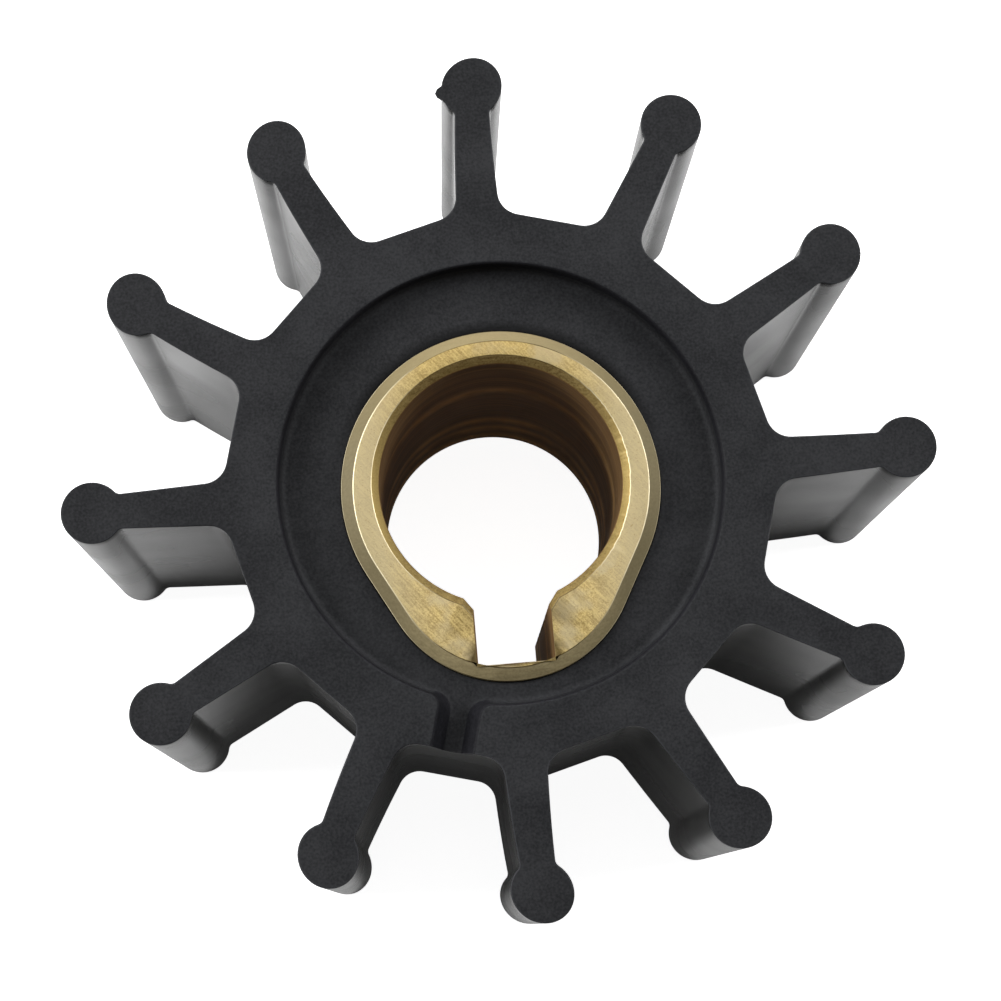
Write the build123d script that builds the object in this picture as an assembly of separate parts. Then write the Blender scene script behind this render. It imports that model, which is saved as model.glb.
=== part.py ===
from build123d import *
import math
import os

# Flexible-vane impeller for a raw-water pump, in millimetres.
# Frame: +Z along the shaft axis towards the front face, origin on that axis at
# the back face, so the impeller lies flat on its back. The keyway points to -Y,
# in line with one vane.

# --- rubber body -----------------------------------------------------------
vane_count = 12
overall_d = 57.15            # across the vane tips
body_width = 31.75           # along the shaft
rim_across_flats = 35.5      # rim that carries the vanes, with a flat in each gap
tip_bead_d = 4.05            # round sealing bead on each vane tip
vane_root_thick = 2.9        # vane thickness where it leaves the rim
vane_tip_thick = 2.15        # vane thickness at the centre of the bead
vane_root_fillet = 1.6       # flex fillet between vane and rim
bead_neck_fillet = 0.5       # fillet between vane and bead

# --- stepped recess in both faces, and the relief channel of the front -----
recess_d = 29.0              # mouth diameter at the face
recess_depth = 1.6
recess_draft = 14.0          # degrees, for the moulding core to draw
channel_mouth = 2.7          # relief channel, across its top at the face
channel_floor = 0.6          # across its floor, level with the recess floor
channel_corner_r = 0.8       # where the channel's flanks turn into the recess wall
lip_r = 0.25                 # rounded lip along recess and channel

# --- brass insert ----------------------------------------------------------
bore_d = 15.88               # for a five-eighths inch shaft
keyway_width = 4.9
keyway_floor = 11.8          # from the shaft axis to the keyway floor
nose_wall = 1.15             # wall left outside the keyway floor
nose_r = 8.4                 # outer radius of the nose over the keyway
round_d = 20.9               # outer diameter of the round part
round_shift = 0.25           # the round part sits this far off the axis, to the key
front_inset = 0.5            # insert face below the body's front face
back_inset = 2.6             # insert end above the body's back face
front_bevel = 0.8            # outer bevel on the front end
back_bevel = 0.4             # outer bevel on the back end
bore_chamfer = 0.5           # both ends of the bore

# --- derived ---------------------------------------------------------------
tip_circle_r = (overall_d - tip_bead_d) / 2
rim_r = rim_across_flats / 2
recess_r = recess_d / 2
bore_r = bore_d / 2
vane_pitch = 360.0 / vane_count
vane_taper = (vane_root_thick - vane_tip_thick) / 2 / (tip_circle_r - rim_r)
insert_length = body_width - front_inset - back_inset
insert_front = back_inset + insert_length
nose_tip = keyway_floor + nose_wall
nose_centre = nose_tip - nose_r
# The channel runs out along the middle of the gap beside the keyway's vane.
channel_angle = -90.0 - vane_pitch / 2
# Cutters start and end this far outside the rubber that they cut.
overrun = 1.0
# Slack for picking an edge or a corner by its place.
pick = 0.02


def vane_half(distance):
    """Half of the vane's thickness at one distance from the shaft axis."""
    return vane_tip_thick / 2 + vane_taper * (tip_circle_r - distance)


def vane_blank():
    """One tapered vane along +X with its round tip bead, as a plan face."""
    plate = Polygon(
        (0, -vane_half(0)),
        (tip_circle_r, -vane_half(tip_circle_r)),
        (tip_circle_r, vane_half(tip_circle_r)),
        (0, vane_half(0)),
        align=None,
    )
    return plate + Pos(tip_circle_r, 0) * Circle(tip_bead_d / 2)


def root_distance():
    """Distance from the shaft axis to the corner between a vane side and a rim flat."""
    lean = math.radians(vane_pitch / 2)
    # The flat is x * cos(lean) + y * sin(lean) = rim_r, and the side line is
    # y = vane_half(x), which falls by vane_taper for each step of x.
    along = (rim_r - vane_half(0) * math.sin(lean)) / (math.cos(lean) - vane_taper * math.sin(lean))
    return math.hypot(along, vane_half(along))


def neck_distance():
    """Distance from the shaft axis to the corner between a vane side and its bead."""
    half = vane_tip_thick / 2
    bead_r = tip_bead_d / 2
    # The side line is half + vane_taper * u, where u runs inward from the bead
    # centre, and the corner is where it meets the bead's circle.
    a = 1 + vane_taper**2
    b = 2 * half * vane_taper
    c = half**2 - bead_r**2
    u = (-b + math.sqrt(b**2 - 4 * a * c)) / (2 * a)
    return math.hypot(tip_circle_r - u, vane_half(tip_circle_r - u))


def corners_at(plan, distance):
    """Corners of a plan face that lie at one distance from the shaft axis."""
    return plan.vertices().filter_by(lambda v: abs(math.hypot(v.X, v.Y) - distance) < pick)


def body_plan():
    """Plan of the body: many-sided rim, patterned vanes, root fillets and bead necks."""
    plan = RegularPolygon(rim_r, vane_count, major_radius=False)
    for index in range(vane_count):
        plan += Rot(0, 0, index * vane_pitch) * vane_blank()
    plan = fillet(corners_at(plan, root_distance()), vane_root_fillet)
    return fillet(corners_at(plan, neck_distance()), bead_neck_fillet)


def recess_core():
    """Drafted core of one recess: its mouth at z = 0, its floor below."""
    flare = math.tan(math.radians(recess_draft))
    profile = Polygon(
        (0, -recess_depth),
        (recess_r - recess_depth * flare, -recess_depth),
        (recess_r + overrun * flare, overrun),
        (0, overrun),
        align=None,
    )
    return revolve(Plane.XZ * profile, axis=Axis.Z)


def channel_core():
    """Core of the relief channel, a flared groove from the recess out past the rim."""
    flare = (channel_mouth - channel_floor) / 2 / recess_depth
    foot = channel_floor / 2
    top = channel_mouth / 2 + overrun * flare
    section = Polygon(
        (-top, overrun),
        (-foot, -recess_depth),
        (foot, -recess_depth),
        (top, overrun),
        align=None,
    )
    start = recess_r - channel_mouth
    length = rim_r + overrun - start
    groove = extrude(Plane.YZ.offset(start) * section, amount=length)
    return Rot(0, 0, channel_angle) * groove


def channel_corners(core):
    """The two edges of a core where the channel's flanks leave the recess wall."""
    low = -recess_depth + pick
    span = core.edges().filter_by(lambda e: e.bounding_box().min.Z < low)
    span = span.filter_by(lambda e: e.bounding_box().max.Z > overrun - pick)
    nearest = recess_r - channel_mouth / 2
    return span.filter_by(lambda e: nearest < plan_distance(e) < rim_r)


def plan_distance(edge):
    """Distance of an edge's middle from the shaft axis."""
    middle = edge.position_at(0.5)
    return math.hypot(middle.X, middle.Y)


def front_core():
    """Core of the front recess with the relief channel and its rounded corners."""
    core = recess_core() + channel_core()
    core = fillet(channel_corners(core), channel_corner_r)
    return Pos(0, 0, body_width) * core


def back_core():
    """Core of the back recess."""
    return mirror(recess_core(), about=Plane.XY)


def lips(body):
    """Edges where a recess or the channel opens in a face of the body."""
    inner = body.edges().filter_by(lambda e: plan_distance(e) < rim_r - pick)
    front = inner.filter_by(lambda e: e.bounding_box().min.Z > body_width - pick)
    back = inner.filter_by(lambda e: e.bounding_box().max.Z < pick)
    return front + back


def insert_outline():
    """Outer plan of the insert: a round part and a nose, joined by tangent flanks."""
    round_r = round_d / 2
    lean = math.asin((round_r - nose_r) / (nose_centre - round_shift))
    side = math.cos(lean)
    drop = math.sin(lean)
    flank_top = (round_r * side, -round_shift - round_r * drop)
    flank_end = (nose_r * side, -nose_centre - nose_r * drop)
    left_top = (-flank_top[0], flank_top[1])
    left_end = (-flank_end[0], flank_end[1])
    crown = (0, round_r - round_shift)
    outline = Curve() + [
        ThreePointArc(flank_top, crown, left_top),
        Line(left_top, left_end),
        ThreePointArc(left_end, (0, -nose_tip), flank_end),
        Line(flank_end, flank_top),
    ]
    return make_face(outline)


def insert_pocket():
    """The space that the insert takes in the rubber, run out into both recesses."""
    return extrude(insert_outline(), amount=body_width)


def insert_blank():
    """The insert without its bore and keyway, bevelled at both ends."""
    blank = Pos(0, 0, back_inset) * extrude(insert_outline(), amount=insert_length)
    blank = chamfer(blank.faces().sort_by(Axis.Z)[-1].edges(), front_bevel)
    return chamfer(blank.faces().sort_by(Axis.Z)[0].edges(), back_bevel)


def shaft_bore():
    """Cutter of the bore, chamfered at both ends of the insert."""
    mouth_r = bore_r + bore_chamfer
    profile = Polygon(
        (0, back_inset),
        (mouth_r, back_inset),
        (bore_r, back_inset + bore_chamfer),
        (bore_r, insert_front - bore_chamfer),
        (mouth_r, insert_front),
        (0, insert_front),
        align=None,
    )
    return revolve(Plane.XZ * profile, axis=Axis.Z)


def keyway():
    """Cutter of the broached keyway, from the shaft axis to its floor."""
    slot = Box(keyway_width, keyway_floor, body_width)
    return Pos(0, -keyway_floor / 2, body_width / 2) * slot


def impeller_body():
    """Moulded rubber: vanes on a rim, recessed in both faces, round the insert."""
    body = extrude(body_plan(), amount=body_width)
    body = body - front_core() - back_core()
    body = fillet(lips(body), lip_r)
    return body - insert_pocket()


def hub_insert():
    """Turned and broached brass insert that the rubber is bonded to."""
    return insert_blank() - shaft_bore() - keyway()


def main():
    """Build both pieces and write one STEP file for each."""
    os.makedirs("parts", exist_ok=True)
    export_step(impeller_body(), "parts/impeller_body.step")
    export_step(hub_insert(), "parts/hub_insert.step")


main()
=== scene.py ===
"""Looks of a flexible-vane pump impeller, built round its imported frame.

Two real pieces are dressed: the moulded rubber body with its beaded vanes, and the
turned and broached brass insert in its bore. Shapes are worked out in millimetres in
the frame of the CAD part (+Z along the shaft axis, back face on z = 0) and written to
the meshes in metres.
"""
import logging
import math
from collections.abc import Callable
from dataclasses import dataclass
from enum import Enum

import bmesh
import bpy
import numpy as np
from mathutils import Matrix, Vector


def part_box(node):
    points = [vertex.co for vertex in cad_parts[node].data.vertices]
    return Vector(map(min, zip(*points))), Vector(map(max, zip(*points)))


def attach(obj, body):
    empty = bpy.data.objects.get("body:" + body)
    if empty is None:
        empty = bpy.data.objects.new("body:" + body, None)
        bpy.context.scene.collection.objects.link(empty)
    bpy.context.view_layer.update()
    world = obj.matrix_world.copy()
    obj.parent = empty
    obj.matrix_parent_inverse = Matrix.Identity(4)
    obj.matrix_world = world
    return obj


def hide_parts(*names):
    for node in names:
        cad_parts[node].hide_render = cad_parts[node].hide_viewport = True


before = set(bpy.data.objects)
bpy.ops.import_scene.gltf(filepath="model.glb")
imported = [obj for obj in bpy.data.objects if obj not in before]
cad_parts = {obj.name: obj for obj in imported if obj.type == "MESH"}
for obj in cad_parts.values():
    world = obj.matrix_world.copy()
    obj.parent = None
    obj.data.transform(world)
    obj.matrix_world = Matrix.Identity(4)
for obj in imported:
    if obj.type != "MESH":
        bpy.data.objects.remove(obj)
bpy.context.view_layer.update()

MM = 0.001
LOG = logging.getLogger("impeller")
Pair = tuple[float, float]
Triple = tuple[float, float, float]
Piece = bpy.types.Object
Socket = bpy.types.NodeSocket
Vertices = list[bmesh.types.BMVert]


# --- names ---


class Node(Enum):
    """CAD nodes that the dressed pieces stand for."""

    BODY = "impeller_body"
    INSERT = "hub_insert"


class Slot(Enum):
    """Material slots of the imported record."""

    RUBBER = "rubber"
    BRASS = "brass"


class End(Enum):
    """The impeller's two ends, each with the way that it looks along the shaft axis."""

    FRONT = 1.0
    BACK = -1.0


# --- plan outlines and profiles ---


def unit(vector: np.ndarray) -> np.ndarray:
    """A vector, or each row of an array of them, at length one."""
    return vector / np.linalg.norm(vector, axis=-1, keepdims=True)


def polar(radius: float, angle: np.ndarray | float) -> np.ndarray:
    """Plan points at a radius and at angles in radians."""
    return radius * np.stack([np.cos(angle), np.sin(angle)], axis=-1)


def turned(points: np.ndarray, angle: float | np.ndarray) -> np.ndarray:
    """Turns plan points about the shaft axis.

    Args:
        points: The points, one row each.
        angle: The angle in radians, one for all points or one for each.

    Returns:
        The turned points.
    """
    c, s = np.cos(angle), np.sin(angle)
    x, y = points[:, 0], points[:, 1]
    return np.stack([x * c - y * s, x * s + y * c], axis=-1)


def smooth_step(share: float) -> float:
    """Eases 0 to 1 in and out, and holds it outside that range."""
    held = min(max(share, 0.0), 1.0)
    return held * held * (3.0 - 2.0 * held)


@dataclass(frozen=True)
class Outline:
    """A closed plan outline, anticlockwise, with normals that point out of the piece.

    Attributes:
        points: Plan points in millimetres, one row each.
        normals: The unit normal at each point.
    """

    points: np.ndarray
    normals: np.ndarray

    @classmethod
    def through(cls, points: np.ndarray) -> "Outline":
        """An outline through points, with each normal square to its neighbours' line."""
        along = unit(np.roll(points, -1, axis=0) - np.roll(points, 1, axis=0))
        return cls(points, np.stack([along[:, 1], -along[:, 0]], axis=-1))

    def ring(self, inset: float | np.ndarray, height: float | np.ndarray) -> np.ndarray:
        """The outline as points in space, moved into the piece by an inset, at a height."""
        moved = self.points - self.normals * np.reshape(inset, (-1, 1))
        return np.column_stack([moved, np.full(len(moved), height)])


class Pen:
    """Draws plan points along arcs and straight runs."""

    def __init__(self, sag: float, stride: float) -> None:
        """Starts with no points.

        Args:
            sag: How far a chord may leave its arc, in millimetres.
            stride: The longest step on a straight run, in millimetres.
        """
        self.sag = sag
        self.stride = stride
        self.rows: list[np.ndarray] = []

    def arc(self, centre: np.ndarray, radius: float, start: float, end: float) -> None:
        """Adds an arc with both of its ends.

        Args:
            centre: The arc's centre.
            radius: Its radius.
            start: The angle in radians where it starts.
            end: The angle where it ends, above start for anticlockwise.
        """
        step = 2.0 * math.acos(1.0 - self.sag / radius)
        count = max(2, math.ceil(abs(end - start) / step))
        self.rows.extend(centre + polar(radius, np.linspace(start, end, count + 1)))

    def run(self, end: np.ndarray) -> None:
        """Adds a straight run from the last point, without its end.

        Args:
            end: The point that the next arc starts from.
        """
        start = self.rows[-1]
        count = max(1, math.ceil(float(np.linalg.norm(end - start)) / self.stride))
        for index in range(1, count):
            self.rows.append(start + (end - start) * index / count)

    def points(self) -> np.ndarray:
        """Ends the drawing.

        Returns:
            The points drawn, without any that repeats its neighbour.
        """
        rows = [self.rows[0]]
        for row in self.rows[1:]:
            if np.linalg.norm(row - rows[-1]) > self.sag / 2:
                rows.append(row)
        return np.array(rows)


@dataclass(frozen=True)
class Corner:
    """A corner of a wall's profile.

    Attributes:
        inset: How far it lies inside the outline.
        height: Its height.
        ease: How far along both sides its rounding reaches, 0 for a sharp corner.
    """

    inset: float
    height: float
    ease: float = 0.0

    def spot(self) -> np.ndarray:
        """Its place as an array."""
        return np.array([self.inset, self.height])


def eased(corners: list[Corner], steps: int = 3) -> list[Pair]:
    """Rounds the corners of a wall's profile.

    Args:
        corners: The profile. Its two end corners only give directions.
        steps: Strips in each rounding.

    Returns:
        The profile's (inset, height) points between its two ends.
    """
    profile: list[Pair] = []
    for before, corner, after in zip(corners, corners[1:], corners[2:]):
        if corner.ease == 0.0:
            profile.append((corner.inset, corner.height))
            continue
        here = corner.spot()
        back = unit(before.spot() - here) * corner.ease
        onward = unit(after.spot() - here) * corner.ease
        for share in np.linspace(0.0, 1.0, steps + 1):
            spot = here + back * (1.0 - share) ** 2 + onward * share**2
            profile.append((float(spot[0]), float(spot[1])))
    return profile


# --- meshes ---


def placed(name: str, data: bpy.types.ID) -> Piece:
    """Puts a new object into the scene.

    Args:
        name: Its name.
        data: Its mesh, lamp or camera.

    Returns:
        The object.
    """
    made = bpy.data.objects.new(name, data)
    bpy.context.scene.collection.objects.link(made)
    return made


class Skin:
    """A mesh in the making, from rings of points joined by strips of quads."""

    def __init__(self) -> None:
        """Starts with an empty mesh."""
        self.mesh = bmesh.new()

    def ring(self, points: np.ndarray) -> Vertices:
        """New vertices at points in millimetres, one row each."""
        return [self.mesh.verts.new(Vector(row) * MM) for row in points]

    def strip(self, low: Vertices, high: Vertices) -> None:
        """Joins two rings with quads.

        Args:
            low: The first ring.
            high: The second ring, with as many vertices.
        """
        count = len(low)
        for index in range(count):
            after = (index + 1) % count
            self.mesh.faces.new((low[index], low[after], high[after], high[index]))

    def wall(self, rings: list[np.ndarray]) -> tuple[Vertices, Vertices]:
        """Adds a wall of strips through several rings.

        Args:
            rings: Rings of points, with the same number in each.

        Returns:
            The vertices of the first and of the last ring.
        """
        made = [self.ring(points) for points in rings]
        for low, high in zip(made, made[1:]):
            self.strip(low, high)
        return made[0], made[-1]

    def cap(self, ring: Vertices) -> None:
        """Closes a ring with one flat face."""
        self.mesh.faces.new(ring)

    def span(self, outer: Vertices, inner: Vertices) -> None:
        """Fills the flat face between two rings.

        Args:
            outer: The outer ring.
            inner: The inner ring.
        """
        edges = []
        for ring in (outer, inner):
            for here, after in zip(ring, ring[1:] + ring[:1]):
                edges.append(self.mesh.edges.get((here, after)))
        bmesh.ops.triangle_fill(self.mesh, use_beauty=True, edges=edges)

    def piece(self, name: str) -> Piece:
        """Turns the mesh into an object.

        Args:
            name: The object's name.

        Returns:
            The new object, linked to the scene.
        """
        bmesh.ops.recalc_face_normals(self.mesh, faces=self.mesh.faces)
        data = bpy.data.meshes.new(name)
        self.mesh.to_mesh(data)
        self.mesh.free()
        return placed(name, data)


def solid(name: str, rings: list[np.ndarray]) -> Piece:
    """Builds a closed solid with a flat cap at each end.

    Args:
        name: Its name.
        rings: The rings of points that its wall runs through.

    Returns:
        The solid.
    """
    skin = Skin()
    for end in skin.wall(rings):
        skin.cap(end)
    return skin.piece(name)


def carve(block: Piece, tools: list[Piece]) -> None:
    """Cuts tools out of a block, and removes them.

    Args:
        block: The object that is cut.
        tools: Closed solids.
    """
    for tool in tools:
        cut = block.modifiers.new(tool.name, "BOOLEAN")
        cut.operation = "DIFFERENCE"
        cut.solver = "EXACT"
        cut.object = tool
    bpy.context.view_layer.update()
    depsgraph = bpy.context.evaluated_depsgraph_get()
    carved = bpy.data.meshes.new_from_object(block.evaluated_get(depsgraph))
    block.modifiers.clear()
    blank = block.data
    block.data = carved
    bpy.data.meshes.remove(blank)
    carved.name = block.name
    for tool in tools:
        data = tool.data
        bpy.data.objects.remove(tool)
        bpy.data.meshes.remove(data)


EDGE_MARK = "worn_edge"


def mark_edges(piece: Piece, low: float, high: float, narrow: float = 0.3) -> None:
    """Writes how sharply the surface turns at each vertex, for the finishes' worn edges and the
    brass's painted edge highlights and shade.

    Args:
        piece: The object, whose mesh gets a float attribute named EDGE_MARK.
        low: The turn in degrees where wear starts.
        high: The turn where it is full.
        narrow: Widest face in millimetres that wears, so that flat faces stay clean.
    """
    mesh = bmesh.new()
    mesh.from_mesh(piece.data)
    values = np.zeros(len(mesh.verts), np.float32)
    for edge in mesh.edges:
        widest = max((face.calc_area() for face in edge.link_faces), default=0.0)
        if widest > narrow * MM * edge.calc_length():
            continue
        turn = math.degrees(edge.calc_face_angle(0.0))
        for vertex in edge.verts:
            values[vertex.index] = max(values[vertex.index], turn)
    mesh.free()
    worn = np.clip((values - low) / (high - low), 0.0, 1.0).astype(np.float32)
    mark = piece.data.attributes.new(EDGE_MARK, "FLOAT", "POINT")
    mark.data.foreach_set("value", worn)


def shade(piece: Piece, crease: float = 50.0) -> None:
    """Shades a piece smooth, with its flat faces flat and its creases sharp.

    Args:
        piece: The object.
        crease: The angle in degrees above which an edge stays sharp.
    """
    piece.data.shade_smooth()
    piece.data.set_sharp_from_angle(angle=math.radians(crease))
    weighted = piece.modifiers.new("flat faces first", "WEIGHTED_NORMAL")
    weighted.keep_sharp = True
    weighted.weight = 100


# --- finishes ---


MIDDLE = (0.3, 0.7)
"""The values between which nearly all of a noise lies."""


class Recipe:
    """A node tree in the making, with one principled shader."""

    def __init__(self, name: str) -> None:
        """Starts a material.

        Args:
            name: The material's name.
        """
        self.material = bpy.data.materials.new(name)
        self.material.use_nodes = True
        self.tree = self.material.node_tree
        self.shader = self.tree.nodes["Principled BSDF"]
        self.place = self.tree.nodes.new("ShaderNodeTexCoord").outputs["Object"]

    def node(self, kind: str, **settings: object) -> bpy.types.Node:
        """Adds a node.

        Args:
            kind: The node's type.
            settings: Its properties.

        Returns:
            The new node.
        """
        made = self.tree.nodes.new(kind)
        for key, value in settings.items():
            setattr(made, key, value)
        return made

    def give(self, target: Socket, value: Socket | Triple | float) -> None:
        """Feeds an input.

        Args:
            target: The input.
            value: The socket that it is linked to, or the colour or number it is set to.
        """
        if isinstance(value, bpy.types.NodeSocket):
            self.tree.links.new(value, target)
        elif isinstance(value, tuple):
            target.default_value = (*value, 1.0)
        else:
            target.default_value = value

    def stretched(self, scale: Triple, angle: float = 0.0) -> Socket:
        """The surface's own coordinates, stretched and turned about the shaft axis.

        Args:
            scale: How often a pattern repeats along each axis, against the others.
            angle: The turn in degrees, before the stretch.

        Returns:
            The socket with the new coordinates.
        """
        turn = self.node("ShaderNodeMapping")
        turn.inputs["Rotation"].default_value = (0.0, 0.0, math.radians(angle))
        stretch = self.node("ShaderNodeMapping")
        stretch.inputs["Scale"].default_value = scale
        self.give(turn.inputs["Vector"], self.place)
        self.give(stretch.inputs["Vector"], turn.outputs["Vector"])
        return stretch.outputs["Vector"]

    def noise(self, size: float, detail: float = 2.0, where: Socket | None = None) -> Socket:
        """A soft random pattern.

        Args:
            size: The size of its features in millimetres.
            detail: How much finer detail it has.
            where: Coordinates to use in place of the surface's own.

        Returns:
            The socket with its value.
        """
        made = self.node("ShaderNodeTexNoise")
        made.inputs["Scale"].default_value = 1.0 / (size * MM)
        made.inputs["Detail"].default_value = detail
        self.give(made.inputs["Vector"], where or self.place)
        return made.outputs["Fac"]

    def level(self, value: Socket, old: Pair, new: Pair = (0.0, 1.0)) -> Socket:
        """Maps one range of values to another, held at its ends.

        Args:
            value: The value.
            old: The two ends of its range.
            new: What they become.

        Returns:
            The socket with the new value.
        """
        made = self.node("ShaderNodeMapRange")
        for name, number in zip(("From Min", "From Max", "To Min", "To Max"), (*old, *new)):
            made.inputs[name].default_value = number
        self.give(made.inputs["Value"], value)
        return made.outputs["Result"]

    def zone(self, place: Socket, old: Pair, new: Pair = (0.0, 1.0)) -> Socket:
        """Maps places or distances, given in millimetres, as level maps values."""
        return self.level(place, (old[0] * MM, old[1] * MM), new)

    def math(self, operation: str, first: Socket | float, second: Socket | float = 0.0) -> Socket:
        """Works out a sum, product or the like.

        Args:
            operation: Its name.
            first: The first value, a socket or a number.
            second: The second value, where the operation has one.

        Returns:
            The socket with the result.
        """
        made = self.node("ShaderNodeMath", operation=operation)
        for socket, value in zip(made.inputs, (first, second)):
            self.give(socket, value)
        return made.outputs["Value"]

    def mean(self, first: Socket, second: Socket, share: float) -> Socket:
        """A mean of two values, with the second one's share of the weight."""
        rest = self.math("MULTIPLY", first, 1.0 - share)
        return self.math("ADD", rest, self.math("MULTIPLY", second, share))

    def blend(self, share: Socket, first: Socket | Triple, second: Socket | Triple) -> Socket:
        """A mix of two colours, each a socket or a colour.

        Args:
            share: How much of the second colour shows.
            first: The first colour.
            second: The second colour.

        Returns:
            The socket with the mixed colour.
        """
        made = self.node("ShaderNodeMix", data_type="RGBA")
        self.give(made.inputs["Factor"], share)
        for name, value in (("A", first), ("B", second)):
            socket = next(s for s in made.inputs if s.name == name and s.type == "RGBA")
            self.give(socket, value)
        return next(s for s in made.outputs if s.type == "RGBA")

    def feed(self, name: str, value: Socket | float) -> None:
        """Feeds the shader's input of this name."""
        self.give(self.shader.inputs[name], value)

    def relief(self, *layers: tuple[Socket, float]) -> None:
        """Sets the shader's normal from layers of bump.

        Args:
            layers: For each, the socket with its height and its depth in millimetres.
        """
        below = None
        for height, depth in layers:
            made = self.node("ShaderNodeBump")
            made.inputs["Distance"].default_value = depth * MM
            self.give(made.inputs["Height"], height)
            if below is not None:
                self.give(made.inputs["Normal"], below)
            below = made.outputs["Normal"]
        self.feed("Normal", below)

    def along(self, axis: str) -> Socket:
        """Each spot's place on the axis X, Y or Z.

        Args:
            axis: The axis.

        Returns:
            The socket with the place in metres.
        """
        apart = self.node("ShaderNodeSeparateXYZ")
        self.give(apart.inputs["Vector"], self.place)
        return apart.outputs[axis]

    def off_axis(self, centre_y: float = 0.0) -> Socket:
        """Distance from a line along Z that crosses the Y axis.

        Args:
            centre_y: Where it crosses, in millimetres.

        Returns:
            The socket with the distance in metres.
        """
        x = self.along("X")
        y = self.math("SUBTRACT", self.along("Y"), centre_y * MM)
        squares = self.math("ADD", self.math("POWER", x, 2.0), self.math("POWER", y, 2.0))
        return self.math("SQRT", squares)

    def edge_wear(self) -> Socket:
        """The worn-edge mark of the mesh."""
        return self.node("ShaderNodeAttribute", attribute_name=EDGE_MARK).outputs["Fac"]


@dataclass(frozen=True)
class InsertShade:
    """Painted shade on the rubber beside the insert's round part, darker towards its crown.

    Attributes:
        centre_y: Place of the round part's centre on the Y axis, in millimetres.
        radius: Radius of the round part.
        reach: How far from it the painted shade fades out.
        rise: Places on the Y axis where the painted shade starts and where it is full.
    """

    centre_y: float
    radius: float
    reach: float = 0.9
    rise: Pair = (2.0, 7.0)

    def share(self, recipe: Recipe) -> Socket:
        """How much painted shade each spot of the surface has.

        Args:
            recipe: The node tree that it is worked out in.

        Returns:
            The socket with the share.
        """
        away = recipe.off_axis(self.centre_y)
        near = recipe.zone(away, (self.radius, self.radius + self.reach), (1.0, 0.0))
        return recipe.math("MULTIPLY", near, recipe.zone(recipe.along("Y"), self.rise))


@dataclass(frozen=True)
class RubberFinish:
    """Black moulded rubber.

    Attributes:
        name: The material's name.
        dark: Colour of the rubber between its grains.
        light: Colour of the grains.
        bloom: Colour of rubbed edges.
        roughness: Lowest and highest roughness.
        grain: Size of the grains in millimetres.
        depth: Depth of their relief in millimetres.
        specular: Specular level.
        insert_shade: Painted shade beside the insert's round part, if the finish has one.
        dull: Distances from the shaft axis between which the rubber turns from dull to
            the full specular level, if it does.
        dullest: Specular level of dull rubber.
        cloud: Size of the clouds in the rubber, against its grains.
        cloud_share: Weight of the clouds in its colour, against 1 with the grains.
        contrast: Levels of that mixed pattern that are fully dark and fully light.
        rub: Least and greatest share of the bloom on an edge.
    """

    name: str
    dark: Triple
    light: Triple
    bloom: Triple
    roughness: Pair
    grain: float
    depth: float
    specular: float = 0.1
    insert_shade: InsertShade | None = None
    dull: Pair | None = None
    dullest: float = 0.15
    cloud: float = 22.0
    cloud_share: float = 0.4
    contrast: Pair = (0.36, 0.64)
    rub: Pair = (0.25, 0.9)

    def material(self) -> bpy.types.Material:
        """Builds the node tree.

        Returns:
            The material.
        """
        recipe = Recipe(self.name)
        grains = recipe.noise(self.grain, detail=3.0)
        clouds = recipe.noise(self.grain * self.cloud)
        mixed = recipe.level(recipe.mean(grains, clouds, self.cloud_share), self.contrast)
        tint = recipe.blend(mixed, self.dark, self.light)
        # painted shade: black blended in beside the insert's round part, towards its crown
        if self.insert_shade:
            tint = recipe.blend(self.insert_shade.share(recipe), tint, (0.0, 0.0, 0.0))
        rubbed = recipe.math("MULTIPLY", recipe.edge_wear(), recipe.level(clouds, MIDDLE, self.rub))
        recipe.feed("Base Color", recipe.blend(rubbed, tint, self.bloom))
        recipe.feed("Roughness", recipe.level(clouds, MIDDLE, self.roughness))
        recipe.feed("Specular IOR Level", self.specular)
        if self.dull:
            shine = recipe.zone(recipe.off_axis(), self.dull, (self.dullest, self.specular))
            recipe.feed("Specular IOR Level", shine)
        recipe.relief((clouds, self.depth * 2.0), (grains, self.depth))
        return recipe.material


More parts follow.
